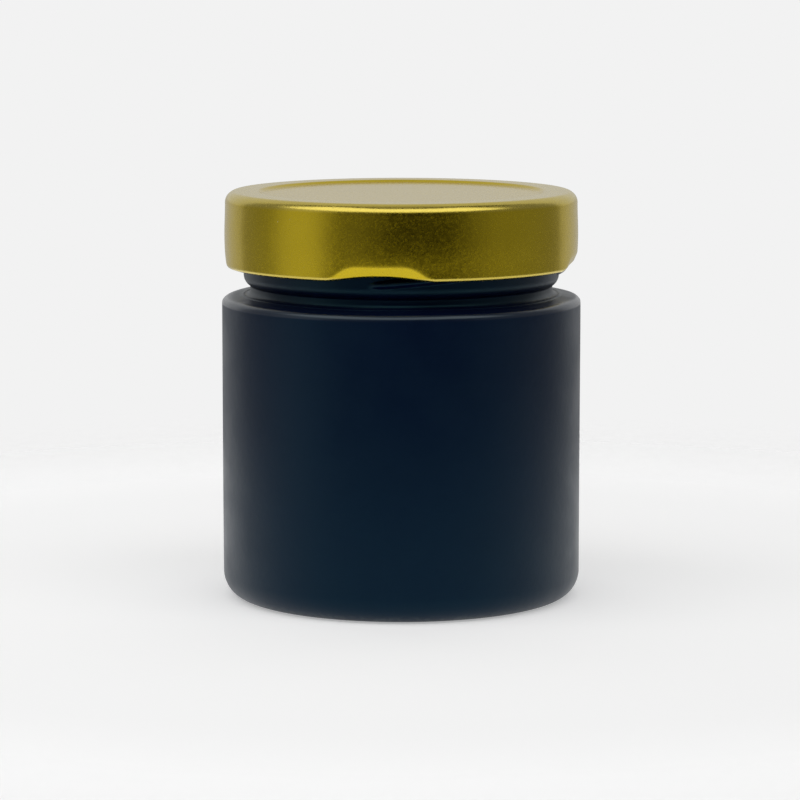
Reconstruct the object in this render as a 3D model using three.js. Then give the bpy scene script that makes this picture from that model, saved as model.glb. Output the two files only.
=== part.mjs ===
// A container candle: a coated glass jar with a deep four-lug twist-off cap, holding wax and a tabbed wick.
// Millimetres, +Z up. The origin is the centre of the ring that the jar stands on, and the front faces -Y.
import * as THREE from "three";

// ---- Driving dimensions ----

const BODY_RADIUS = 35.5; // glass body
const CAP_RADIUS = 34.95; // outside of the cap's skirt, just inside the body's
const TOTAL_HEIGHT = 80.5; // from the table to the crest of the cap
const RIM_HEIGHT = 79; // sealing rim of the glass
const SHOULDER_HEIGHT = 59.7; // top of the shoulder's outer corner
const SKIRT_FOOT = 65.9; // lower edge of the cap when it is closed

const GLASS_WALL = 3;
const GLASS_FLOOR = 5; // thickness of the base
const NECK_RADIUS = 31.2; // neck wall between the threads
const BORE_RADIUS = 28.6; // inside of the neck
const WAX_HEIGHT = 54.5; // fill line, just under the shoulder
const WICK_TRIM = 7; // wick left standing above the wax

const LUGS = 4; // lugs on the cap, and thread starts on the glass
const THREAD_LEAD = 17; // rise in one turn
const THREAD_SPAN = 130; // degrees that each thread covers
const THREAD_FOOT_ANGLE = -11; // lower end of the front thread, degrees from the front
const THREAD_FOOT_HEIGHT = 64.7;
const LUG_ANGLE = -6; // middle of the front lug, degrees from the front

const TINPLATE = 0.25;
const FIT_GAP = 0.3; // between a piece and the neighbour that it is poured or pressed into

const TURN_STEPS = 56; // facets round the jar, the wax and the seal
const CAP_STEPS = 72; // finer, so that the lugs keep their shape
const FINE_STEPS = 28; // facets round the small pieces

// ---- Helpers ----

const radians = THREE.MathUtils.degToRad;
const front = -90; // degrees from +X to the front, so that piece angles count from the front
const point = (r, z) => new THREE.Vector2(r, z);
const smooth = (t) => THREE.MathUtils.smoothstep(t, 0, 1);

// Points of a round corner in the profile plane, about (r, z), from one angle to another.
function corner(r, z, radiusR, radiusZ, from, to, steps) {
  const points = [];
  for (let i = 0; i <= steps; i++) {
    const a = radians(from + ((to - from) * i) / steps);
    points.push(point(r + radiusR * Math.cos(a), z + radiusZ * Math.sin(a)));
  }
  return points;
}

// Turns a profile of (radius, height) points about +Z. The profile runs anticlockwise round the material.
function turned(profile, steps) {
  return new THREE.LatheGeometry(profile, steps).rotateX(Math.PI / 2);
}

// Moves each vertex to the (radius, height) that place(radius, degrees from the front, height) gives.
function moveVertices(geometry, place) {
  const positions = geometry.getAttribute("position");
  for (let i = 0; i < positions.count; i++) {
    const [x, y, z] = [positions.getX(i), positions.getY(i), positions.getZ(i)];
    const r = Math.hypot(x, y);
    if (r < 1) continue;
    const [newR, newZ] = place(r, THREE.MathUtils.radToDeg(Math.atan2(y, x)) - front, z);
    positions.setXYZ(i, (x * newR) / r, (y * newR) / r, newZ);
  }
}

const candle = new THREE.Group();

function addPiece(name, geometry, color, roughness, metalness) {
  const material = new THREE.MeshStandardMaterial({ color, roughness, metalness });
  const mesh = new THREE.Mesh(geometry, material);
  mesh.name = name;
  candle.add(mesh);
}

// ---- Glass jar ----
// Pressed and blown glass: a straight body, a flat shoulder, a grooved neck, and a tall finish whose
// four threads sit low, where a deep cap's lugs reach them.

const HEEL_RADIUS = 4.2; // bottom corner, across
const HEEL_HEIGHT = 5; // and up
const SHOULDER_CORNER = 1.4;
const RIM_CORNER = 1;
const PUSH_UP = 1.4; // hollow under the base
const STANDING_RING = 27.5; // inner radius of the ring that the jar stands on
const INNER_HEEL = 8; // bottom corner of the inside
const SHOULDER_UNDERSIDE = 56; // height where the inside starts to close in
const SHOULDER_DOME = 5.5; // and how much further up it reaches the bore
const PUSH_UP_BLEND = 4; // width of the rounding between the ring and the hollow
const SHOULDER_RISE = 0.4; // from the shoulder's outer corner to the foot of the neck
const NECK_COVE = 0.9; // rounding where the neck meets the shoulder
const GROOVE_RADIUS = 30.4; // groove round the neck, under the threads
const GROOVE_FOOT = 61.6;
const GROOVE_TOP = 62.3;
const NECK_FOOT = 63.1; // the plain neck wall starts here
const NECK_ROW = 0.5; // between rows of vertices
const THREADS_TOP = 72.2;
const THREAD_HALF_HEIGHT = 0.85;
const THREAD_PROUD = 1.4;
const THREAD_TAPER = 7; // degrees over which an end runs out

// Inside of the glass, from the middle of the floor to the foot of the straight wall, a gap inside it.
function innerWall(gap) {
  const wall = BODY_RADIUS - GLASS_WALL - gap;
  const floor = GLASS_FLOOR + gap;
  return [
    point(0, floor),
    ...corner(wall - INNER_HEEL, floor + INNER_HEEL, INNER_HEEL, INNER_HEEL, -90, 0, 5),
  ];
}

// Rows up the neck wall, close enough together to carry the threads.
function neckRows() {
  const points = [];
  for (let z = NECK_FOOT; z < THREADS_TOP; z += NECK_ROW) points.push(point(NECK_RADIUS, z));
  return points;
}

function outerFace() {
  const shoulderRadius = BODY_RADIUS - SHOULDER_CORNER;
  const shoulderTurn = SHOULDER_HEIGHT - SHOULDER_CORNER;
  const coveTop = SHOULDER_HEIGHT + SHOULDER_RISE + NECK_COVE;
  return [
    point(0, PUSH_UP),
    ...corner(STANDING_RING - PUSH_UP_BLEND, 0, PUSH_UP_BLEND, PUSH_UP, 90, 0, 3),
    ...corner(BODY_RADIUS - HEEL_RADIUS, HEEL_HEIGHT, HEEL_RADIUS, HEEL_HEIGHT, -90, 0, 5),
    ...corner(shoulderRadius, shoulderTurn, SHOULDER_CORNER, SHOULDER_CORNER, 0, 80, 3),
    ...corner(NECK_RADIUS + NECK_COVE, coveTop, NECK_COVE, NECK_COVE, 270, 180, 2),
    point(GROOVE_RADIUS, GROOVE_FOOT),
    point(GROOVE_RADIUS, GROOVE_TOP),
    ...neckRows(),
    ...corner(NECK_RADIUS - RIM_CORNER, RIM_HEIGHT - RIM_CORNER, RIM_CORNER, RIM_CORNER, 0, 90, 3),
  ];
}

// From the middle of the floor, up the wall, in under the shoulder and up the bore to the rim.
function innerFace() {
  const shoulderWidth = BODY_RADIUS - GLASS_WALL - BORE_RADIUS;
  const rimRadius = BORE_RADIUS + RIM_CORNER;
  return [
    ...innerWall(0),
    ...corner(BORE_RADIUS, SHOULDER_UNDERSIDE, shoulderWidth, SHOULDER_DOME, 0, 90, 4),
    ...corner(rimRadius, RIM_HEIGHT - RIM_CORNER, RIM_CORNER, RIM_CORNER, 180, 90, 2),
  ];
}

// How far the glass stands out of the neck wall at one place on a thread, or 0 between threads.
function threadProud(angle, z) {
  const pitch = 360 / LUGS;
  let proud = 0;
  for (let i = 0; i < LUGS; i++) {
    const along = THREE.MathUtils.euclideanModulo(angle - THREAD_FOOT_ANGLE - pitch * i, 360);
    if (along > THREAD_SPAN) continue;
    const taper = smooth(Math.min(along, THREAD_SPAN - along) / THREAD_TAPER);
    const off = (z - THREAD_FOOT_HEIGHT - (along / 360) * THREAD_LEAD) / THREAD_HALF_HEIGHT;
    proud = Math.max(proud, THREAD_PROUD * taper * (1 - off * off));
  }
  return proud;
}

function jarGeometry() {
  const jar = turned([...outerFace(), ...innerFace().reverse()], TURN_STEPS);
  moveVertices(jar, (r, angle, z) => {
    const onNeck = Math.abs(r - NECK_RADIUS) < 0.01 && z >= NECK_FOOT;
    return onNeck ? [r + threadProud(angle, z), z] : [r, z];
  });
  return jar;
}

addPiece("glass_jar", jarGeometry(), 0x0a1420, 0.6, 0);

// ---- Cap ----
// One pressing of lacquered tinplate: a sunk panel, a raised ring over the seal, a plain skirt, and a
// curled edge. At four places the curl is flattened and pushed in to make a lug.

const PANEL_SINK = 0.7; // panel below the ring's crest
const PANEL_RADIUS = 26.9;
const RING_INNER = 28.8; // inner edge of the ring's crest
const CAP_CORNER = 2.2;
const CURL_RADIUS = 0.75;
const CURL_TURN = 250; // degrees that the edge is rolled through
const LUG_HALF_WIDTH = 10; // degrees of full depth
const LUG_BLEND = 8; // degrees from full depth to the plain skirt
const LUG_DEPTH = 1.55;
const LUG_LIFT = 0.65;
const LUG_FLATTEN = 0.4; // share of the curl's height taken out at a lug
const LUG_REACH = 3; // height of skirt above the foot that leans in at a lug

// The sheet's outer face moved outwards by d, from the middle of the panel to the end of the curl.
function sheetLine(d) {
  const curl = CURL_RADIUS + d;
  const bend = CAP_CORNER + d;
  return [
    point(0, TOTAL_HEIGHT - PANEL_SINK + d),
    point(PANEL_RADIUS, TOTAL_HEIGHT - PANEL_SINK + d),
    point((PANEL_RADIUS + RING_INNER) / 2, TOTAL_HEIGHT - PANEL_SINK / 2 + d),
    point(RING_INNER, TOTAL_HEIGHT + d),
    ...corner(CAP_RADIUS - CAP_CORNER, TOTAL_HEIGHT - CAP_CORNER, bend, bend, 90, 0, 3),
    point(CAP_RADIUS + d, SKIRT_FOOT + LUG_REACH),
    point(CAP_RADIUS + d, SKIRT_FOOT + (LUG_REACH + CURL_RADIUS) / 2),
    ...corner(CAP_RADIUS - CURL_RADIUS, SKIRT_FOOT + CURL_RADIUS, curl, curl, 0, -CURL_TURN, 6),
  ];
}

// 1 in the middle of a lug, 0 on the plain skirt.
function lugWeight(angle) {
  const pitch = 360 / LUGS;
  const off = Math.abs(THREE.MathUtils.euclideanModulo(angle - LUG_ANGLE + pitch / 2, pitch) - pitch / 2);
  return 1 - smooth((off - LUG_HALF_WIDTH) / LUG_BLEND);
}

function capGeometry() {
  const profile = [...sheetLine(0), ...sheetLine(-TINPLATE).reverse()];
  const cap = turned(profile.reverse(), CAP_STEPS);
  moveVertices(cap, (r, angle, z) => {
    const above = z - SKIRT_FOOT;
    if (above > LUG_REACH || r < NECK_RADIUS) return [r, z];
    const lean = 1 - smooth((above - CURL_RADIUS) / (LUG_REACH - CURL_RADIUS));
    const push = lugWeight(angle) * lean;
    return [r - LUG_DEPTH * push, z + (LUG_LIFT - LUG_FLATTEN * above) * push];
  });
  return cap;
}

addPiece("lid_shell", capGeometry(), 0xa8923a, 0.3, 1);

// ---- Seal ----
// A ring of soft compound, run into the channel under the raised ring and cured there.

const SEAL_INNER = 28.2;
const SEAL_OUTER = 34.1;
const SEAL_LIP = 0.5; // how far its outer edge hangs below the rim
const LIP_CLEARANCE = 1; // between the lip and the neck wall

function sealProfile() {
  const top = TOTAL_HEIGHT - TINPLATE - FIT_GAP;
  const face = RIM_HEIGHT + FIT_GAP;
  return [
    point(SEAL_INNER, face),
    point(NECK_RADIUS + FIT_GAP, face),
    point(NECK_RADIUS + LIP_CLEARANCE, RIM_HEIGHT - SEAL_LIP),
    point(SEAL_OUTER, RIM_HEIGHT - SEAL_LIP),
    point(SEAL_OUTER, RIM_HEIGHT),
    point(CAP_RADIUS - CAP_CORNER, top),
    point(RING_INNER + FIT_GAP, top),
    point(SEAL_INNER, face),
  ];
}

addPiece("sealing_ring", turned(sealProfile(), TURN_STEPS), 0xd8d2c0, 0.7, 0);

// ---- Wick, its tab and the sticker that holds the tab to the floor ----

const STICKER_RADIUS = 9.5;
const STICKER_THICKNESS = 0.6;
const TAB_RADIUS = 10;
const TAB_NECK_RADIUS = 1.9;
const TAB_NECK_HEIGHT = 5;
const WICK_RADIUS = 1.3;
const TAB_FILLET = 0.5; // where the tab's neck rises from its plate
const WICK_TIP = 0.45; // taper at the trimmed end

const stickerFloor = GLASS_FLOOR + FIT_GAP;
const tabFloor = stickerFloor + STICKER_THICKNESS + FIT_GAP;
const wickTop = WAX_HEIGHT + WICK_TRIM;
const wickHole = WICK_RADIUS + FIT_GAP;

function stickerProfile() {
  return [
    point(0, stickerFloor),
    point(STICKER_RADIUS, stickerFloor),
    point(STICKER_RADIUS, stickerFloor + STICKER_THICKNESS),
    point(0, stickerFloor + STICKER_THICKNESS),
  ];
}

function tabProfile() {
  return [
    point(wickHole, tabFloor),
    point(TAB_RADIUS, tabFloor),
    point(TAB_RADIUS, tabFloor + TINPLATE),
    point(TAB_NECK_RADIUS + TAB_FILLET, tabFloor + TINPLATE),
    point(TAB_NECK_RADIUS, tabFloor + TINPLATE + TAB_FILLET),
    point(TAB_NECK_RADIUS, tabFloor + TAB_NECK_HEIGHT),
    point(wickHole, tabFloor + TAB_NECK_HEIGHT),
    point(wickHole, tabFloor),
  ];
}

function wickProfile() {
  return [
    point(0, tabFloor),
    point(WICK_RADIUS, tabFloor),
    point(WICK_RADIUS, wickTop - WICK_TIP),
    point(WICK_RADIUS - WICK_TIP, wickTop),
    point(0, wickTop),
  ];
}

addPiece("wick_sticker", turned(stickerProfile(), FINE_STEPS), 0xe8e6e0, 0.8, 0);
addPiece("wick_tab", turned(tabProfile(), FINE_STEPS), 0xb8bcc0, 0.35, 1);
addPiece("wick", turned(wickProfile(), FINE_STEPS / 2), 0xf0e8d4, 0.9, 0);

// ---- Wax ----
// Poured round the wick, the tab and the sticker, so its underside is hollowed to their shape.

function waxProfile() {
  const wall = innerWall(FIT_GAP);
  const wallRadius = wall[wall.length - 1].x;
  const overTab = tabFloor + TINPLATE + FIT_GAP;
  const overNeck = tabFloor + TAB_NECK_HEIGHT + FIT_GAP;
  return [
    point(TAB_RADIUS + FIT_GAP, GLASS_FLOOR + FIT_GAP),
    ...wall.slice(1),
    point(wallRadius, WAX_HEIGHT),
    point(wickHole, WAX_HEIGHT),
    point(wickHole, overNeck),
    point(TAB_NECK_RADIUS + FIT_GAP, overNeck),
    point(TAB_NECK_RADIUS + TAB_FILLET + FIT_GAP, overTab),
    point(TAB_RADIUS + FIT_GAP, overTab),
    point(TAB_RADIUS + FIT_GAP, GLASS_FLOOR + FIT_GAP),
  ];
}

addPiece("wax_fill", turned(waxProfile(), TURN_STEPS), 0xf2ead6, 0.55, 0);

export default candle;
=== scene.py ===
import math

import bmesh
import bpy
import numpy as np
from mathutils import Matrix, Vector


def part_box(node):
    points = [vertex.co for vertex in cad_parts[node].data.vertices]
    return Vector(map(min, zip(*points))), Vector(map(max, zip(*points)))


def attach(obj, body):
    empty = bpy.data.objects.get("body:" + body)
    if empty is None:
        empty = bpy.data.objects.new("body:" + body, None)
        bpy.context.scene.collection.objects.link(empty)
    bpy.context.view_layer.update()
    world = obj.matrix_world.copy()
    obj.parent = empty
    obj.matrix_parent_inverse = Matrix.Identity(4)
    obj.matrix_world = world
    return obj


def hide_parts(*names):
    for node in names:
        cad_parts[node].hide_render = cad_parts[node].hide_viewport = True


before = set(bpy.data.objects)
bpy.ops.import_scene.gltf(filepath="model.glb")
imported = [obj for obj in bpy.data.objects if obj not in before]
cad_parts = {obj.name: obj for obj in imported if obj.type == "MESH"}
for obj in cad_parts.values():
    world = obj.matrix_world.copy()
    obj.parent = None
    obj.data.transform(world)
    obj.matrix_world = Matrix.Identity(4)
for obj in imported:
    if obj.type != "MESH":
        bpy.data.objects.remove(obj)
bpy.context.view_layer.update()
mm = 0.001

# ---- Coated glass jar ----
# A pressed and blown soda glass jar: four-start thread, and a waist over the shoulder. The outside is
# sprayed with a matt blue-black coating and baked. The rim and the inside stay bare, so the coating
# shows through the glass there.

jar_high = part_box("glass_jar")[1]
body_radius = jar_high.x
rim_height = jar_high.z
push_up = 1.4 * mm  # hollow under the base
standing_ring = 27.7 * mm  # inner radius of the ring that the jar stands on
heel_radius = 4.2 * mm
heel_height = 5 * mm
shoulder_height = 59.7 * mm
shoulder_corner = 1.4 * mm
waist_radius = 29.9 * mm
waist_cove = (1.05 * mm, 1.15 * mm)  # rounding where the waist meets the shoulder, across and up
neck_radius = 31.2 * mm
neck_foot = 64.1 * mm  # the plain neck wall starts here
neck_edge = (2 * mm, 2.3 * mm)  # rounding under it, across and down
rim_corner = 1 * mm

bore_radius = 28.6 * mm
inner_radius = body_radius - 3 * mm
inner_floor = 5 * mm
inner_heel = 8 * mm
inner_shoulder = 54.6 * mm  # height where the inside starts to close in
inner_dome = 4.4 * mm  # and how much further up it reaches the bore

thread_starts = 4
thread_lead = 17 * mm  # rise in one turn
thread_span = 130  # degrees that each thread covers
thread_foot_angle = -11  # lower end of the front thread, degrees from the front
thread_foot_height = 64.7 * mm
thread_half_height = 0.85 * mm
thread_proud = 1.4 * mm
thread_fade = 9  # degrees over which an end runs out
threads_top = 72.2 * mm

seams = (90, 270)  # where the mould's halves met, degrees from the front
seam_half_width = 0.3  # degrees
seam_height = 0.035 * mm
wall_wave = 0.05 * mm  # unevenness of the blown wall
shoulder_wave = 0.12 * mm
knurls = 120  # fine notches across the standing ring
knurl_depth = 0.12 * mm
knurl_middle = 29.4 * mm  # radius of the middle of the notched band, and half its width
knurl_half_width = 1.7 * mm


def arc(centre, radii, start, end, steps):
    """Points of an elliptic arc in the (radius, height) plane; angles in degrees."""
    turn = np.radians(np.linspace(start, end, steps + 1))
    return [(centre[0] + radii[0] * math.cos(t), centre[1] + radii[1] * math.sin(t)) for t in turn]


def straight(start, end, steps):
    """Points of a line in the (radius, height) plane, without its first one."""
    share = np.linspace(0, 1, steps + 1)[1:]
    return [tuple(np.array(start) + s * (np.array(end) - np.array(start))) for s in share]


def smooth(t):
    t = np.clip(t, 0, 1)
    return t * t * (3 - 2 * t)


def turned(name, profile, columns, shape=None, other_side=None):
    """A closed body: the profile of (radius, height) points turned about Z. columns are the angles from
    the front, in degrees, and shape(r, angle, z) may press the surface to other radii and heights. A
    profile that doesn't begin and end on the axis closes on itself. From the point numbered other_side
    on, the faces have the second material."""
    rows = np.array(profile)
    on_axis = rows[0, 0] < 1e-9
    rings = rows[1:-1] if on_axis else rows
    angle = np.asarray(columns, float)
    count = len(angle)
    r = np.repeat(rings[:, :1], count, 1)
    z = np.repeat(rings[:, 1:], count, 1)
    if shape:
        r, z = shape(r, np.repeat(angle[None], len(rings), 0), z)
    turn = np.radians(angle - 90)
    points = [*np.stack([r * np.cos(turn), r * np.sin(turn), z], 2).reshape(-1, 3)]
    faces = []
    for i in range(len(rings) - 1 if on_axis else len(rings)):
        here, above = i * count, (i + 1) % len(rings) * count
        for j in range(count):
            k = (j + 1) % count
            faces.append((here + j, here + k, above + k, above + j))
    if on_axis:
        first, last = len(points), len(points) + 1
        top = (len(rings) - 1) * count
        points += [(0, 0, rows[0, 1]), (0, 0, rows[-1, 1])]
        faces += [(last, top + j, top + (j + 1) % count) for j in range(count)]
        faces += [(first, (j + 1) % count, j) for j in range(count)]
    made = piece(name, points, faces)
    if other_side:
        from_face = (other_side - on_axis) * count
        bottom = len(faces) - count * on_axis
        side = [int(from_face <= i < bottom) for i in range(len(faces))]
        made.data.polygons.foreach_set("material_index", side)
    return made


def piece(name, points, faces):
    """A smooth-shaded object from points and faces, with all its faces turned outwards."""
    mesh = bpy.data.meshes.new(name)
    mesh.from_pydata([tuple(p) for p in points], [], faces)
    shell = bmesh.new()
    shell.from_mesh(mesh)
    bmesh.ops.recalc_face_normals(shell, faces=shell.faces)
    shell.to_mesh(mesh)
    shell.free()
    mesh.polygons.foreach_set("use_smooth", [True] * len(mesh.polygons))
    made = bpy.data.objects.new(name, mesh)
    bpy.context.scene.collection.objects.link(made)
    return made


def ripple(seed, waves, longest):
    """A gentle random unevenness, about 1 at most, as a function of angle in degrees and height."""
    random = np.random.default_rng(seed)
    turns = random.integers(1, 7, waves)
    climb = random.uniform(-1, 1, waves) * 2 * math.pi / longest
    phase = random.uniform(0, 2 * math.pi, waves)
    size = random.uniform(0.4, 1, waves)

    def height(angle, z):
        total = sum(
            s * np.sin(n * np.radians(angle) + c * z + p)
            for n, c, p, s in zip(turns, climb, phase, size)
        )
        return total / size.sum()

    return height


def thread_height(angle, z):
    """How far the glass stands out of the neck wall, from its rounded thread ridges."""
    proud = np.zeros_like(z)
    for start in range(thread_starts):
        along = (angle - thread_foot_angle - start * 360 / thread_starts) % 360
        on = along < thread_span
        taper = np.sqrt(smooth(np.minimum(along, thread_span - along) / thread_fade))
        middle = thread_foot_height + along / 360 * thread_lead
        off = (z - middle) / (thread_half_height * (0.6 + 0.4 * taper))
        ridge = np.clip(1 - off**2, 0, 1) ** 0.9
        proud = np.maximum(proud, np.where(on, thread_proud * taper * ridge, 0))
    return proud


def shape_jar(r, angle, z):
    """The thread on the neck, the waves of the wall and the shoulder, the mould seams and the knurls."""
    outside = r > bore_radius + 1.2 * mm
    on_neck = outside & (np.abs(r - neck_radius) < 1e-6) & (z > neck_foot - 1e-6) & (z < threads_top)
    r = r + np.where(on_neck, thread_height(angle, z), 0)
    between_corners = smooth(z / (6 * mm)) * smooth((shoulder_height - z) / (5 * mm))
    body = smooth((r - 33 * mm) / (2 * mm)) * between_corners
    r = r + wall_wave * body * glass_ripple(angle, z)
    shoulder = smooth((z - 56 * mm) / (3 * mm)) * smooth((60.6 * mm - z) / (0.6 * mm)) * outside
    z = z + shoulder_wave * shoulder * shoulder_ripple(angle, 0 * z)
    for seam in seams:
        off = np.abs((angle - seam + 180) % 360 - 180)
        ridge = np.clip(1 - off / seam_half_width, 0, 1)
        r = r + seam_height * ridge * outside * (z > 1 * mm) * (z < rim_height - 1.5 * mm)
    on_ring = (np.abs(r - knurl_middle) < knurl_half_width) & (z < 0.3 * mm)
    knurl = 0.5 + 0.5 * np.cos(np.radians(angle) * knurls)
    z = z + np.where(on_ring, knurl_depth * (1 - knurl), 0)
    return r, z


glass_ripple = ripple(11, 9, 60 * mm)
shoulder_ripple = ripple(5, 5, 60 * mm)
seam_columns = [seam + share * seam_half_width for seam in seams for share in (-1, -0.4, 0.4, 1)]
jar_columns = np.unique(np.concatenate([np.arange(0, 360, 1.0), seam_columns]))

heel_middle = (body_radius - heel_radius, heel_height)
shoulder_middle = (body_radius - shoulder_corner, shoulder_height - shoulder_corner)
hollow_edge = push_up - 0.1 * mm
cove_top = 61.2 * mm
rim_low = rim_height - rim_corner
jar_outside = [
    (0, push_up),
    *straight((0, push_up), (17.4 * mm, hollow_edge), 4),
    *arc((18 * mm, hollow_edge), (0.5 * mm, 0.22 * mm), 180, 360, 6),  # line left by the mould's plug
    *arc((standing_ring - 4.2 * mm, 0), (4.2 * mm, hollow_edge), 85, 8, 8),
    *straight((standing_ring, 0.04 * mm), (31.1 * mm, 0), 10),
    *arc(heel_middle, (heel_radius, heel_height), -88, 0, 16),
    *straight((body_radius, heel_height), (body_radius, shoulder_middle[1]), 36),
    *arc(shoulder_middle, (shoulder_corner, shoulder_corner), 8, 84, 10),
    *straight((shoulder_middle[0], shoulder_height), (31.5 * mm, 60 * mm), 5),
    *arc((31.25 * mm, 60.05 * mm), (0.2 * mm, 0.14 * mm), 20, 150, 5),  # fine step before the cove
    *arc((waist_radius + waist_cove[0], cove_top), waist_cove, 268, 182, 8),
    *straight((waist_radius, cove_top + 0.05 * mm), (waist_radius + 0.02 * mm, cove_top + 0.5 * mm), 3),
    *arc((neck_radius - neck_edge[0], neck_foot), neck_edge, -68, 0, 10),
    *straight((neck_radius, neck_foot), (neck_radius, threads_top), 66),
    *straight((neck_radius, threads_top), (neck_radius, rim_low), 6),
    *arc((neck_radius - rim_corner, rim_low), (rim_corner, rim_corner), 10, 90, 8),
]
floor_middle = inner_floor + 0.2 * mm
jar_inside = [
    *arc((bore_radius + rim_corner, rim_low), (rim_corner, rim_corner), 90, 180, 8),
    *straight((bore_radius, rim_low), (bore_radius, inner_shoulder + inner_dome), 9),
    *arc((bore_radius, inner_shoulder), (inner_radius - bore_radius, inner_dome), 88, 0, 14),
    *straight((inner_radius, inner_shoulder), (inner_radius, inner_floor + inner_heel), 12),
    *arc((inner_radius - inner_heel, inner_floor + inner_heel), (inner_heel, inner_heel), -2, -88, 12),
    *straight((inner_radius - inner_heel, inner_floor), (2 * mm, floor_middle), 6),
    (0, floor_middle),
]


class Pattern:
    """Solid patterns made of nodes, at a place that the tree is given."""

    def __init__(self, tree, place):
        self.tree = tree
        self.place = self.add("ShaderNodeTexCoord").outputs[place]

    def add(self, kind, **settings):
        node = self.tree.nodes.new(kind)
        for name, value in settings.items():
            setattr(node, name, value)
        return node

    def feed(self, socket, value):
        if isinstance(value, bpy.types.NodeSocket):
            self.tree.links.new(value, socket)
        else:
            socket.default_value = value

    def math(self, operation, first, second=0.0):
        node = self.add("ShaderNodeMath", operation=operation)
        self.feed(node.inputs[0], first)
        self.feed(node.inputs[1], second)
        return node.outputs[0]

    def stretched(self, along):
        """The place with each axis multiplied; a small number draws a pattern out along its axis."""
        node = self.add("ShaderNodeVectorMath", operation="MULTIPLY")
        self.feed(node.inputs[0], self.place)
        node.inputs[1].default_value = along
        return node.outputs[0]

    def grain(self, size, detail=3.0, place=None):
        """Cloudy noise from 0 to 1 whose patches are about size across."""
        node = self.add("ShaderNodeTexNoise")
        self.feed(node.inputs["Vector"], place or self.place)
        node.inputs["Scale"].default_value = 1 / size
        node.inputs["Detail"].default_value = detail
        return node.outputs["Fac"]

    def specks(self, spacing, size):
        """1 on small round specks, about spacing apart, and 0 between them."""
        node = self.add("ShaderNodeTexVoronoi", feature="F1")
        self.feed(node.inputs["Vector"], self.place)
        node.inputs["Scale"].default_value = 1 / spacing
        return self.between(node.outputs["Distance"], size / spacing, 0.4 * size / spacing)

    def between(self, value, low, high, new_low=0.0, new_high=1.0):
        """value brought smoothly from one range to another."""
        node = self.add("ShaderNodeMapRange", interpolation_type="SMOOTHSTEP")
        for socket, number in zip(node.inputs[:5], (value, low, high, new_low, new_high)):
            self.feed(socket, number)
        return node.outputs[0]

    def mix(self, share, first, second):
        node = self.add("ShaderNodeMix", data_type="RGBA")
        self.feed(node.inputs[0], share)
        self.feed(node.inputs[6], first)
        self.feed(node.inputs[7], second)
        return node.outputs[2]

    def relief(self, height, depth, under=None):
        """A bump of the given depth, in metres, from a height that runs from 0 to 1."""
        node = self.add("ShaderNodeBump")
        node.inputs["Strength"].default_value = 1
        self.feed(node.inputs["Distance"], depth)
        self.feed(node.inputs["Height"], height)
        if under:
            self.feed(node.inputs["Normal"], under)
        return node.outputs[0]

    def axes(self):
        node = self.add("ShaderNodeSeparateXYZ")
        self.feed(node.inputs[0], self.place)
        return node.outputs

    def radius(self):
        """Distance from the jar's axis."""
        flat = self.add("ShaderNodeVectorMath", operation="LENGTH")
        self.feed(flat.inputs[0], self.stretched((1, 1, 0)))
        return flat.outputs["Value"]


class Finish(Pattern):
    """A material under construction. Its patterns are in the piece's own metres."""

    def __init__(self, name, **values):
        self.material = bpy.data.materials.new(name)
        self.material.use_nodes = True
        super().__init__(self.material.node_tree, "Object")
        self.shader = next(n for n in self.tree.nodes if n.type == "BSDF_PRINCIPLED")
        for socket, value in values.items():
            self.shader.inputs[socket.replace("_", " ")].default_value = value

    def set(self, **inputs):
        """Feeds the shader's sockets and gives the finished material."""
        for socket, value in inputs.items():
            self.feed(self.shader.inputs[socket.replace("_", " ")], value)
        return self.material


def matt_coating():
    """Sprayed and baked enamel: dense blue-black, with a faint orange peel and a mist of overspray. It
    is lighter in patches low on the heel, and handling has rubbed the shoulder's edge shiny."""
    coat = Finish("matt_blue_black_coating", IOR=1.6, Coat_Roughness=0.2)
    coat.shader.inputs["Specular Tint"].default_value = (0.12, 0.36, 0.4, 1)
    deep, thin = (0.0004, 0.0013, 0.017, 1), (0.001, 0.0026, 0.021, 1)
    overspray, heel_patch_color = (0.012, 0.02, 0.03, 1), (0.05, 0.06, 0.065, 1)
    color = coat.mix(coat.grain(14 * mm, 4), deep, thin)
    misty = coat.between(coat.grain(6 * mm), 0.45, 0.7)
    mist = coat.math("MULTIPLY", coat.specks(0.9 * mm, 0.12 * mm), misty)
    color = coat.mix(coat.math("MULTIPLY", mist, 0.35), color, overspray)
    z = coat.axes()["Z"]
    # Lighter in patches low on the heel.
    on_heel = coat.between(z, 1.9 * mm, 0.2 * mm)
    heel_patches = coat.math("MULTIPLY", on_heel, coat.between(coat.grain(1.2 * mm, 5), 0.42, 0.62))
    color = coat.mix(coat.math("MULTIPLY", heel_patches, 0.5), color, heel_patch_color)
    peel = coat.relief(coat.grain(1.5 * mm, 2), 0.02 * mm)
    tooth = coat.relief(coat.grain(0.22 * mm, 2), 0.006 * mm, peel)
    rough = coat.between(coat.grain(9 * mm, 3), 0.3, 0.7, 0.33, 0.4)
    over_wall = coat.between(z, shoulder_height - 1.5 * mm, shoulder_height - 1.2 * mm, 0, 0.8)
    under_flat = coat.between(z, shoulder_height + 0.1 * mm, shoulder_height - 0.2 * mm)
    shine = coat.math("MULTIPLY", over_wall, under_flat)
    return coat.set(Base_Color=color, Roughness=rough, Normal=tooth, Coat_Weight=shine)


def bare_glass():
    """The inside of the wall and the rim: smooth glass with the dark coating showing through it."""
    glass = Finish("glass_over_dark_coating", Coat_Weight=1.0, Coat_Roughness=0.03, IOR=1.52)
    deep, thin = (0.004, 0.009, 0.018, 1), (0.008, 0.016, 0.028, 1)
    color = glass.mix(glass.grain(18 * mm), deep, thin)
    cords = glass.relief(glass.grain(5 * mm, 1, glass.stretched((1, 1, 0.15))), 0.05 * mm)
    rough = glass.between(glass.grain(11 * mm), 0.3, 0.7, 0.06, 0.12)
    return glass.set(Base_Color=color, Roughness=rough, Normal=cords)


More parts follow.
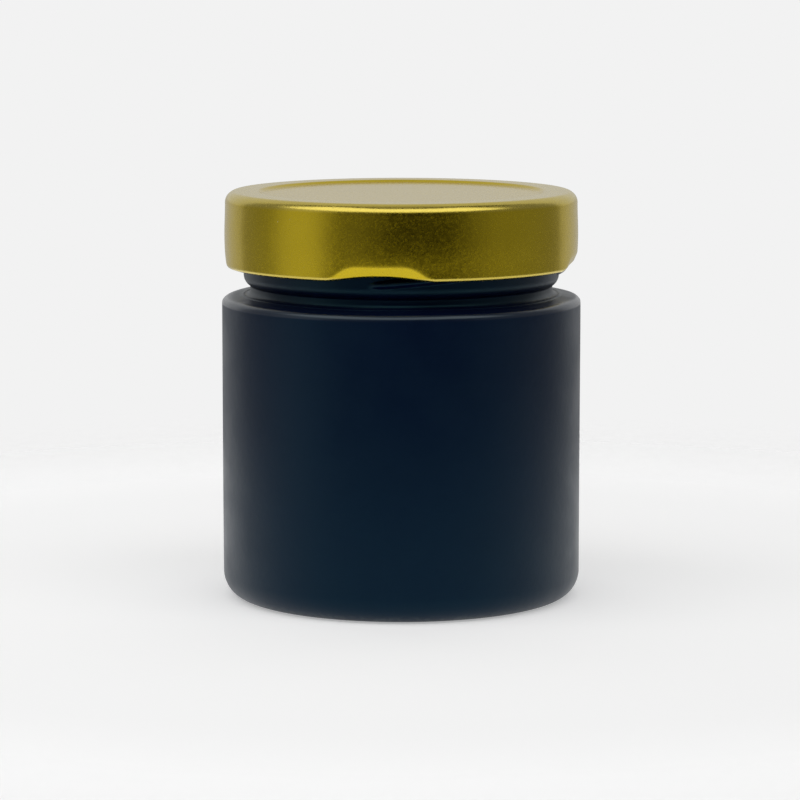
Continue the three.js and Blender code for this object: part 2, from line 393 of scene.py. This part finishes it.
bare_from = len(jar_outside) - 4  # the coating stops part of the way round the rim
glass_jar = turned("coated_jar", jar_outside + jar_inside, jar_columns, shape_jar, bare_from)
glass_jar.data.materials.append(matt_coating())
glass_jar.data.materials.append(bare_glass())
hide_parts("glass_jar")
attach(glass_jar, "jar")

# ---- Wick sticker ----
# A die-cut dot of white foam with adhesive on both faces. It holds the wick's tab to the glass floor.

dot_low, dot_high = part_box("wick_sticker")
dot_bulge = 0.25 * mm  # how far the cut edge swells between the faces


def bulged(radius, low, high, bulge):
    """Profile of a soft disc whose edge bulges between its faces."""
    middle, half = (low + high) / 2, (high - low) / 2
    return [
        (0, low),
        *straight((0, low), (radius - bulge, low), 6),
        *arc((radius - bulge, middle), (bulge, half), -80, 80, 8),
        *straight((radius - bulge, high), (0, high), 6),
    ]


def foam():
    """Closed-cell foam: chalky white, with small pits darkened by painted shade."""
    cells = Finish("white_foam", Roughness=0.85)
    white, pit_shade = (0.78, 0.78, 0.75, 1), (0.6, 0.6, 0.57, 1)
    pits = cells.specks(0.35 * mm, 0.2 * mm)
    # Painted shade darkens the pits.
    color = cells.mix(pits, white, pit_shade)
    return cells.set(Base_Color=color, Normal=cells.relief(pits, -0.05 * mm))


fine_columns = np.arange(0, 360, 4.0)
sticker = turned("foam_dot", bulged(dot_high.x, dot_low.z, dot_high.z, dot_bulge), fine_columns)
sticker.data.materials.append(foam())
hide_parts("wick_sticker")
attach(sticker, "jar")

# ---- Wick tab ----
# Stamped from thin tinned steel: a round plate with pressed ribs and a drawn neck, which is squeezed
# on two sides to grip the wick.

tab_low, tab_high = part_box("wick_tab")
tab_sheet = 0.25 * mm
tab_neck = 1.9 * mm  # outer radius of the drawn neck
tab_root = 0.5 * mm  # rounding from the plate into the neck
wick_bore = 1.42 * mm
tab_ribs = 6
rib_height = 0.2 * mm
crimp_depth = 0.1 * mm


def shape_tab(r, angle, z):
    """Ribs pressed up in the plate, and the neck squeezed on two sides."""
    on_plate = smooth((r - 3 * mm) / (1 * mm)) * smooth((tab_high.x - 1.2 * mm - r) / (0.8 * mm))
    rib = np.clip(np.cos(np.radians(angle) * tab_ribs), 0, 1) ** 6
    z = z + rib_height * on_plate * rib
    crimp = smooth(1 - np.abs(z - tab_high.z + 2 * mm) / (1.2 * mm)) * (r < 2.2 * mm)
    squeeze = np.abs(np.cos(np.radians(angle))) ** 3
    return r - crimp_depth * crimp * squeeze, z


plate_edge = tab_high.x - 0.1 * mm
plate_top = tab_low.z + tab_sheet
tab_profile = [
    *straight((wick_bore, tab_low.z), (plate_edge, tab_low.z), 22),
    *arc((tab_high.x - 0.12 * mm, tab_low.z + tab_sheet / 2), (0.12 * mm, tab_sheet / 2), -60, 60, 4),
    *straight((plate_edge, plate_top), (tab_neck + tab_root, plate_top), 20),
    *arc((tab_neck + tab_root, plate_top + tab_root), (tab_root, tab_root), 260, 180, 5),
    *straight((tab_neck, plate_top + tab_root), (tab_neck, tab_high.z - 0.1 * mm), 16),
    *arc(((tab_neck + wick_bore) / 2, tab_high.z - 0.15 * mm), (0.22 * mm, 0.15 * mm), 20, 160, 5),
    *straight((wick_bore, tab_high.z - 0.2 * mm), (wick_bore, tab_low.z + 0.1 * mm), 16),
]


def tinned_steel():
    """Bright tinned steel with die scratches across the sheet."""
    tin = Finish("tinned_steel", Metallic=1.0)
    dull, bright = (0.62, 0.63, 0.64, 1), (0.75, 0.76, 0.77, 1)
    scratches = tin.grain(0.5 * mm, 4, tin.stretched((0.06, 1, 1)))
    color = tin.mix(scratches, dull, bright)
    rough = tin.between(scratches, 0.3, 0.7, 0.22, 0.4)
    return tin.set(Base_Color=color, Roughness=rough, Normal=tin.relief(scratches, 0.006 * mm))


tab = turned("crimped_tab", tab_profile, fine_columns, shape_tab)
tab.data.materials.append(tinned_steel())
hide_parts("wick_tab")
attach(tab, "jar")

# ---- Wick ----
# Eight cotton strands braided round a straight core, primed with wax and trimmed above the fill.

wick_low, wick_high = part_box("wick")
strands = 8
braid_pitch = 7 * mm  # height in which a strand goes once round
braid_radius = 0.79 * mm
over_and_under = 0.15 * mm
strand_radius = (0.34 * mm, 0.24 * mm)  # along the braid's surface, and through it
core_radius = 0.55 * mm
strand_step = 0.2 * mm
trim = 0.5 * mm  # how unevenly the scissors left the strands


def strand_points(index, top):
    """Middle line of one strand. Half of the strands climb one way round and half the other, and each
    passes over one crossing and under the next."""
    way = 1 if index % 2 else -1
    z = np.arange(wick_low.z, top, strand_step)
    climb = 2 * math.pi * (z - wick_low.z) / braid_pitch
    turn = way * climb + (index // 2) * math.pi / 2
    r = braid_radius + way * over_and_under * np.cos(4 * climb)
    return np.stack([r * np.cos(turn), r * np.sin(turn), z], 1)


def swept(line, wide, deep, sides):
    """Points and faces of a closed rope with an oval section, wide along the wick's surface."""
    ahead = np.gradient(line, axis=0)
    ahead /= np.linalg.norm(ahead, axis=1)[:, None]
    out = line * (1, 1, 0)
    out /= np.maximum(np.linalg.norm(out, axis=1), 1e-9)[:, None]
    side = np.cross(ahead, out)
    ends = np.sqrt(np.clip(np.minimum(np.arange(len(line)), np.arange(len(line))[::-1]) / 2, 0.12, 1))
    points = []
    for k in range(sides):
        t = 2 * math.pi * k / sides
        points.append(line + ends[:, None] * (wide * math.cos(t) * side + deep * math.sin(t) * out))
    points = np.stack(points, 1).reshape(-1, 3)
    faces = []
    for i in range(len(line) - 1):
        for k in range(sides):
            a, b = i * sides + k, i * sides + (k + 1) % sides
            faces.append((a, b, b + sides, a + sides))
    faces.append(tuple(range(sides))[::-1])
    faces.append(tuple(len(points) - sides + k for k in range(sides)))
    return points, faces


def braided_wick():
    random = np.random.default_rng(3)
    points, faces = np.zeros((0, 3)), []
    for index in range(strands):
        top = wick_high.z - random.uniform(0, 1) * trim
        more, rope = swept(strand_points(index, top), *strand_radius, 8)
        faces += [tuple(v + len(points) for v in face) for face in rope]
        points = np.vstack([points, more])
    z = np.arange(wick_low.z, wick_high.z - 0.2 * mm, 1 * mm)
    core = np.stack([np.full_like(z, 1e-6), 0 * z, z], 1)
    more, rope = swept(core, core_radius, core_radius, 12)
    faces += [tuple(v + len(points) for v in face) for face in rope]
    return piece("braided_wick", np.vstack([points, more]), faces)


def waxed_cotton():
    """Cotton yarn stiffened with wax: cream, a little see-through, with fine twisted fibres."""
    yarn = Finish("waxed_cotton", Subsurface_Weight=0.3, Subsurface_Scale=0.5 * mm, Coat_Weight=0.15)
    shaded, cream = (0.62, 0.55, 0.42, 1), (0.85, 0.8, 0.68, 1)
    fibres = yarn.grain(0.12 * mm, 3, yarn.stretched((1, 1, 0.25)))
    color = yarn.mix(fibres, shaded, cream)
    rough = yarn.between(yarn.grain(1 * mm), 0.3, 0.7, 0.5, 0.75)
    return yarn.set(Base_Color=color, Roughness=rough, Normal=yarn.relief(fibres, 0.03 * mm))


wick = braided_wick()
wick.data.materials.append(waxed_cotton())
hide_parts("wick")
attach(wick, "jar")

# ---- Wax ----
# Poured hot round the wick and left to set. It creeps up the glass and up the wick as it cools, dips
# a little between them, and frosts in faint patches.

wax_low, wax_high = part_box("wax_fill")
wax_gap = 0.03 * mm
wax_radius = inner_radius - wax_gap
wick_hole = 1.36 * mm
round_tab = tab_high.x + 0.3 * mm  # radius of the hollow that the tab sits in
round_neck = tab_neck + 0.3 * mm
over_tab = tab_low.z + tab_sheet + 0.35 * mm
over_neck = tab_high.z + 0.3 * mm
glass_rise = 0.75 * mm  # how far the wax creeps up the glass
wick_rise = 0.55 * mm
dip_depth = 0.35 * mm
wax_wave = 0.08 * mm
fill = wax_high.z - glass_rise  # level of the open surface


def wax_surface(r):
    """Height of the set surface: it rises at the glass and at the wick, and dips between them."""
    at_glass = glass_rise * math.exp(-(wax_radius - r) / (0.9 * mm))
    at_wick = wick_rise * math.exp(-(r - wick_hole) / (0.7 * mm))
    dip = dip_depth * math.exp(-(((r - 9 * mm) / (7 * mm)) ** 2))
    return fill + at_glass + at_wick - dip


def shape_wax(r, angle, z):
    inside = r < wax_radius - 0.5 * mm
    top = (z > fill - 0.5 * mm) & inside & (r > wick_hole + 0.3 * mm)
    return r, z + np.where(top, wax_wave * wax_ripple(angle, 3 * r), 0)


wax_ripple = ripple(23, 8, 40 * mm)
top_radii = np.concatenate(  # rows of the open surface, closer together at the glass and at the wick
    [
        wax_radius - np.geomspace(0.01, 6, 16) * mm,
        np.linspace(26 * mm, 4 * mm, 23),
        wick_hole + np.geomspace(2.4, 0.02, 10) * mm,
    ]
)
heel_start = inner_radius - inner_heel
heel_top = wax_low.z + inner_heel
wax_profile = [
    (round_tab, wax_low.z),
    *straight((round_tab, wax_low.z), (heel_start, wax_low.z), 8),
    *arc((heel_start, heel_top), (inner_heel - wax_gap, inner_heel), -86, 0, 14),
    *straight((wax_radius, heel_top), (wax_radius, wax_high.z), 24),
    *[(r, wax_surface(r)) for r in top_radii],
    *straight((wick_hole, wax_surface(wick_hole)), (wick_hole, over_neck), 16),
    (round_neck, over_neck),
    *straight((round_neck, over_neck), (round_neck, over_tab + 0.5 * mm), 4),
    *straight((round_neck + 0.5 * mm, over_tab), (round_tab, over_tab), 8),
]


def soy_wax():
    """Creamy container wax: light sinks into it, and frost and tiny bubbles mark its surface."""
    wax = Finish("creamy_wax", Subsurface_Weight=0.6, Coat_Weight=0.1, IOR=1.44)
    wax.shader.inputs["Subsurface Scale"].default_value = 3 * mm
    wax.shader.inputs["Subsurface Radius"].default_value = (1.0, 0.7, 0.4)
    deep, pale_cream, frosted = (0.82, 0.74, 0.58, 1), (0.88, 0.81, 0.66, 1), (0.93, 0.9, 0.82, 1)
    cream = wax.mix(wax.grain(12 * mm, 4), deep, pale_cream)
    frost = wax.between(wax.grain(7 * mm, 6), 0.52, 0.66)
    color = wax.mix(wax.math("MULTIPLY", frost, 0.6), cream, frosted)
    bubbly = wax.between(wax.grain(9 * mm), 0.5, 0.6)
    bubbles = wax.math("MULTIPLY", wax.specks(2.2 * mm, 0.22 * mm), bubbly)
    rough = wax.between(frost, 0, 1, 0.42, 0.62)
    skin = wax.relief(wax.grain(2.5 * mm, 4), 0.05 * mm)
    return wax.set(Base_Color=color, Roughness=rough, Normal=wax.relief(bubbles, -0.12 * mm, skin))


wax = turned("poured_wax", wax_profile, np.arange(0, 360, 2.0), shape_wax)
wax.data.materials.append(soy_wax())
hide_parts("wax_fill")
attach(wax, "jar")

# ---- Sealing ring ----
# Soft compound, run into the cap's channel and baked there. It takes the print of the glass rim.

seal_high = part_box("sealing_ring")[1]
seal_back = seal_high.z + 0.2 * mm  # it fills the channel up to the tinplate
seal_face = rim_height + 0.03 * mm
rim_middle = (bore_radius + neck_radius) / 2
rim_print = 0.12 * mm  # depth of the groove that the rim has pressed
seal_wave = 0.03 * mm
seal_profile = [
    *arc((28.6 * mm, seal_face + 0.35 * mm), (0.45 * mm, 0.45 * mm), 150, 280, 8),
    *straight((28.7 * mm, seal_face - rim_print), (rim_middle - 0.95 * mm, seal_face - rim_print), 2),
    *arc((rim_middle, seal_face - 0.9 * mm), (0.95 * mm, 0.95 * mm), 120, 60, 8),
    *straight((rim_middle + 0.9 * mm, seal_face - rim_print), (31.7 * mm, seal_face - 0.2 * mm), 3),
    *arc((33.1 * mm, seal_face - 0.05 * mm), (0.95 * mm, 0.45 * mm), 200, 350, 10),
    (33.9 * mm, seal_face + 0.3 * mm),
    (32.7 * mm, seal_back),
    *straight((32.7 * mm, seal_back), (29.0 * mm, seal_back), 6),
]


def shape_seal(r, angle, z):
    under = z < seal_face + 0.05 * mm
    return r, z + np.where(under, seal_wave * seal_ripple(angle, 4 * r) - 0.02 * mm, 0)


def sealing_compound():
    """Cured vinyl compound: soft, off-white, with a satin skin and flow marks round the ring."""
    ring = Finish("sealing_compound", Subsurface_Weight=0.2, Specular_IOR_Level=0.4)
    ring.shader.inputs["Subsurface Scale"].default_value = 0.6 * mm
    shaded, off_white = (0.66, 0.64, 0.58, 1), (0.74, 0.72, 0.66, 1)
    color = ring.mix(ring.grain(3 * mm, 3), shaded, off_white)
    rough = ring.between(ring.grain(1.2 * mm), 0.3, 0.7, 0.4, 0.58)
    flow = ring.relief(ring.grain(0.8 * mm), 0.03 * mm)
    return ring.set(Base_Color=color, Roughness=rough, Normal=flow)


seal_ripple = ripple(31, 7, 30 * mm)
seal = turned("compound_ring", seal_profile, np.arange(0, 360, 2.0), shape_seal)
seal.data.materials.append(sealing_compound())
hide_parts("sealing_ring")
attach(seal, "seal")

# ---- Twist-off cap ----
# Drawn from one round of tinplate, lacquered gold outside and cream inside. The edge is curled inwards,
# and at four places the curl is pressed flat and pushed in to make the lugs that run on the threads.

cap_low, cap_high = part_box("lid_shell")
cap_radius = cap_high.x
cap_foot = cap_low.z - 0.25 * mm  # the curl hangs a little lower than the plain edge
cap_top = cap_high.z
tinplate = 0.22 * mm
cap_corner = 2.2 * mm
panel_sink = 0.5 * mm
panel_radius = 27.4 * mm
panel_fillet = 0.5 * mm
crest_inner = 28.8 * mm  # inner edge of the raised ring's flat crest
crest_round = 0.9 * mm
curl_radius = 0.75 * mm
barrel = 0.15 * mm  # how much the skirt bellies out between its corner and its curl
skirt_wave = 0.03 * mm
skirt_wrinkle = 0.008 * mm
panel_wave = 0.035 * mm

lug_angle = -7  # middle of the front lug, degrees from the front
lug_flat = 7.5  # degrees from the middle to where the press starts to fade
lug_blend = 11.5  # and how many degrees it fades over
lug_reach = 2.8 * mm  # height above the foot at which the pressed facet starts, in its middle
lug_lean = 0.8 * mm  # how far the facet leans in at the foot
lug_tongue = 0.8 * mm  # how much further the flattened curl goes
lug_lift = 0.85 * mm  # how far the foot is raised in the lug's middle
lug_arch = 1.5  # degrees from the middle over which it is raised in full


def sheet_line(skin):
    """The sheet's outer face moved in by skin, from the middle of the panel to the end of the curl."""
    panel, crest = cap_top - panel_sink - skin, cap_top - skin
    bend, curl = cap_corner - skin, curl_radius - skin
    side, side_top = cap_radius - skin, cap_top - cap_corner
    facets_top = cap_foot + 3.6 * mm  # closer rows from here down, for the lugs
    return [
        *straight((0, panel), (panel_radius - panel_fillet, panel), 16),
        *arc((panel_radius - 0.1 * mm, panel + panel_fillet), (panel_fillet, panel_fillet), 280, 312, 4),
        *arc((crest_inner - 0.3 * mm, crest - crest_round), (crest_round, crest_round), 132, 90, 5),
        *straight((crest_inner, crest), (cap_radius - cap_corner, crest), 6),
        *arc((cap_radius - cap_corner, side_top), (bend, bend), 86, 0, 16),
        *straight((side, side_top), (side, facets_top), 18),
        *straight((side, facets_top), (side, cap_foot + curl_radius), 20),
        *arc((cap_radius - curl_radius, cap_foot + curl_radius), (curl, curl), -8, -270, 22),
    ]


def press_cap(r, angle, z):
    """The skirt's belly, the sheet's unevenness, and the lugs: at each, a facet leans in, the curl is
    squeezed into a tongue, and the foot is lifted."""
    above = z - cap_foot
    middle = (cap_top - cap_corner + cap_foot) / 2
    on_side = smooth((r - 33 * mm) / (1 * mm))
    r = r - barrel * on_side * smooth(np.abs(z - middle) / (cap_top - cap_corner - middle))
    uneven = skirt_wave * cap_ripple(angle, z) + skirt_wrinkle * cap_wrinkle(6 * angle, 3 * z)
    r = r + on_side * uneven
    on_panel = smooth((panel_radius - 1 * mm - r) / (4 * mm)) * smooth(r / (3 * mm))
    z = z + panel_wave * on_panel * cap_ripple(angle, 2 * r)
    pitch = 360 / thread_starts
    off = np.abs((angle - lug_angle + pitch / 2) % pitch - pitch / 2)
    lug = (1 - smooth((off - lug_flat) / lug_blend)) * (r > neck_radius)
    share = np.maximum(lug - above / lug_reach, -0.6)  # the facet's edge is lower where the lug fades
    lean = 0.5 * (share + np.sqrt(share**2 + 0.02)) * smooth(6 * lug)
    inner_curl = smooth((cap_radius - 0.35 * mm - r) / (1.1 * mm)) * (above < 1.7 * mm)
    push = lug_lean * lean + lug_tongue * inner_curl * lug
    arch = 1 - smooth((off - lug_arch) / (lug_flat + lug_blend - lug_arch))
    lift = lug_lift * arch * np.clip(1 - above / lug_reach, 0, 1) * (r > neck_radius)
    return r - push, z + lift


def gold_lacquer():
    """Clear gold lacquer over tinplate: satin, with the sheet's mottle, a few nibs and rubs. A painted
    highlight makes it paler on the raised ring, the corner and the curl."""
    gold = Finish("gold_lacquer", Metallic=1.0, Coat_Weight=0.25, Coat_Roughness=0.08, Coat_IOR=1.5)
    deep, light = (0.59, 0.435, 0.01, 1), (0.65, 0.49, 0.02, 1)
    highlight_gold, nib, rubbed = (0.68, 0.58, 0.2, 1), (0.8, 0.72, 0.45, 1), (0.75, 0.68, 0.42, 1)
    mottle = gold.grain(1.3 * mm, 1.3)
    cloud = gold.grain(9 * mm, 3)
    color = gold.mix(cloud, deep, light)
    z = gold.axes()["Z"]
    # Painted highlight: the colour turns paler on the raised ring and the corner, and on the curl.
    corner_highlight = gold.between(z, cap_top - 2 * mm, cap_top - 1.1 * mm)
    curl_highlight = gold.between(z, cap_foot + 0.9 * mm, cap_foot + 0.5 * mm)
    outer = gold.between(gold.radius(), crest_inner - 0.8 * mm, crest_inner - 0.2 * mm)
    thin = gold.math("MULTIPLY", outer, gold.math("MAXIMUM", corner_highlight, curl_highlight))
    color = gold.mix(gold.math("MULTIPLY", thin, 0.4), color, highlight_gold)
    nib_patch = gold.between(gold.grain(8 * mm), 0.5, 0.62)
    nibs = gold.math("MULTIPLY", gold.specks(3 * mm, 0.13 * mm), nib_patch)
    color = gold.mix(gold.math("MULTIPLY", nibs, 0.8), color, nib)
    crest = gold.between(z, cap_top - 0.1 * mm, cap_top)
    rub = gold.math("MULTIPLY", crest, gold.between(gold.grain(1.6 * mm, 5), 0.5, 0.68))
    color = gold.mix(gold.math("MULTIPLY", rub, 0.2), color, rubbed)
    drawn = gold.relief(gold.grain(0.35 * mm, 1, gold.stretched((1, 1, 0.1))), 0.0015 * mm)
    wave = gold.relief(gold.grain(3.5 * mm, 1), 0.035 * mm, drawn)
    peel = gold.relief(mottle, 0.012 * mm, wave)
    satin = gold.between(gold.grain(0.5 * mm, 2), 0.3, 0.7, 0.2, 0.28)
    rough = gold.math("ADD", satin, gold.math("MULTIPLY", rub, 0.06))
    return gold.set(Base_Color=color, Roughness=rough, Normal=gold.relief(nibs, 0.03 * mm, peel))


def inner_lacquer():
    """Cream food-safe lacquer on the inside of the cap: half glossy, with faint roller marks."""
    cream = Finish("cream_inner_lacquer", Coat_Weight=0.3, Coat_Roughness=0.2)
    shaded, pale_cream = (0.7, 0.68, 0.6, 1), (0.76, 0.74, 0.67, 1)
    color = cream.mix(cream.grain(6 * mm, 3), shaded, pale_cream)
    marks = cream.grain(0.6 * mm, 3, cream.stretched((0.08, 1, 1)))
    rough = cream.between(marks, 0.3, 0.7, 0.28, 0.4)
    return cream.set(Base_Color=color, Roughness=rough, Normal=cream.relief(marks, 0.01 * mm))


cap_ripple = ripple(17, 8, 50 * mm)
cap_wrinkle = ripple(19, 10, 20 * mm)
cap_outside = [(0, cap_top - panel_sink), *sheet_line(0)]
cap_inside = [*reversed(sheet_line(tinplate)), (0, cap_top - panel_sink - tinplate)]
cap = turned("gold_cap", cap_outside + cap_inside, np.arange(0, 360, 0.75), press_cap, len(cap_outside))
cap.data.materials.append(gold_lacquer())
cap.data.materials.append(inner_lacquer())
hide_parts("lid_shell")
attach(cap, "cap")

# ---- Table, light and camera ----
# A pale seamless table in a white tent: soft boxes left and right, a strip above the front, white cloth
# behind, and the dark of the room where the tent is open to the camera.

backdrop = 0.888  # how bright the camera sees the space behind the jar
table_radius = 0.3
table_depth = 1 * mm
table_gap = 0.05 * mm  # so that it doesn't touch the jar
table_glow = 0.372  # lifts the paper to the backdrop's brightness
fade_from, fade_to = 0.12, 0.26  # radii between which the table fades out


def table_paper():
    """Pale paper that fades out towards its edge, so that it runs on into the backdrop."""
    paper = Finish("pale_paper", Base_Color=(0.8, 0.8, 0.8, 1), Roughness=1.0, Specular_IOR_Level=0.0)
    paper.shader.inputs["Emission Color"].default_value = (1, 1, 1, 1)
    paper.shader.inputs["Emission Strength"].default_value = table_glow
    return paper.set(Alpha=paper.between(paper.radius(), fade_to, fade_from))


table_profile = [(0, 0), (table_radius, 0), (table_radius, -table_depth), (0, -table_depth)]
table = turned("table_top", table_profile, fine_columns)
table.location.z = -table_gap
table.data.materials.append(table_paper())


def window(pattern, value, low, high, soft_low, soft_high):
    """1 between two angles in degrees, falling to 0 over the soft ones outside them."""
    rise = pattern.between(value, math.radians(low - soft_low), math.radians(low))
    fall = pattern.between(value, math.radians(high + soft_high), math.radians(high))
    return pattern.math("MULTIPLY", rise, fall)


def tent():
    """Light from each direction. Each light has a window round (azimuth, 0 at the front and positive to
    the right, or its size on both sides) and one up: from, to, and how softly it fades at each, all in
    degrees. Its strength is last, and the strongest light wins."""
    world = bpy.data.worlds.new("tent")
    bpy.context.scene.world = world
    world.use_nodes = True
    sky = Pattern(world.node_tree, "Generated")
    x, y, z = sky.axes()
    azimuth = sky.math("ARCTAN2", x, sky.math("MULTIPLY", y, -1))
    aside = sky.math("ABSOLUTE", azimuth)
    up = sky.math("ARCSINE", z)
    lights = [
        (aside, (128, 185, 8, 1), (-95, 48, 1, 25), 0.52),  # cloth behind
        (aside, (128, 185, 8, 1), (4, 68, 6, 24), 0.63),  # its upper part
        (azimuth, (-73, -63, 42, 32), (-95, 45, 1, 20), 0.53),  # left soft box
        (azimuth, (-132, -60, 5, 10), (-95, 45, 1, 20), 0.26),  # side of the tent behind it
        (azimuth, (-60, -34, 10, 40), (-95, 45, 1, 20), 0.14),  # side of the tent in front of it
        (azimuth, (70, 132, 52, 5), (-95, 45, 1, 20), 0.23),  # right soft box
        (azimuth, (-90, 72, 12, 20), (37, 68, 5, 5), 1.5),  # strip above the front
        (aside, (-5, 185, 1, 1), (82, 95, 8, 1), 0.28),  # roof of the tent
        (aside, (-5, 185, 1, 1), (-95, -24, 1, 16), 0.6),  # lit table all round
    ]
    total = 0.025  # the dark of the room
    for around, across, rise, strength in lights:
        patch = sky.math("MULTIPLY", window(sky, around, *across), window(sky, up, *rise))
        total = sky.math("MAXIMUM", total, sky.math("MULTIPLY", patch, strength))
    seen = sky.add("ShaderNodeLightPath").outputs["Is Camera Ray"]
    shade = sky.mix(seen, (0, 0, 0, 1), (backdrop, backdrop, backdrop, 1))
    sky.feed(shade.node.inputs[6], total)
    background = next(n for n in sky.tree.nodes if n.type == "BACKGROUND")
    sky.feed(background.inputs["Color"], shade)


tent()
bpy.context.scene.view_settings.view_transform = "Standard"

camera_distance = 0.7169
camera_height = 0.1369
camera_tilt = 7.8  # degrees down
camera = bpy.data.objects.new("camera", bpy.data.cameras.new("camera"))
bpy.context.scene.collection.objects.link(camera)
camera.location = (0, -camera_distance, camera_height)
camera.rotation_euler = (math.radians(90 - camera_tilt), 0, 0)
camera.data.sensor_width = 36
camera.data.lens = 163.6
camera.data.shift_x = -0.0016
bpy.context.scene.camera = camera

bpy.context.view_layer.update()
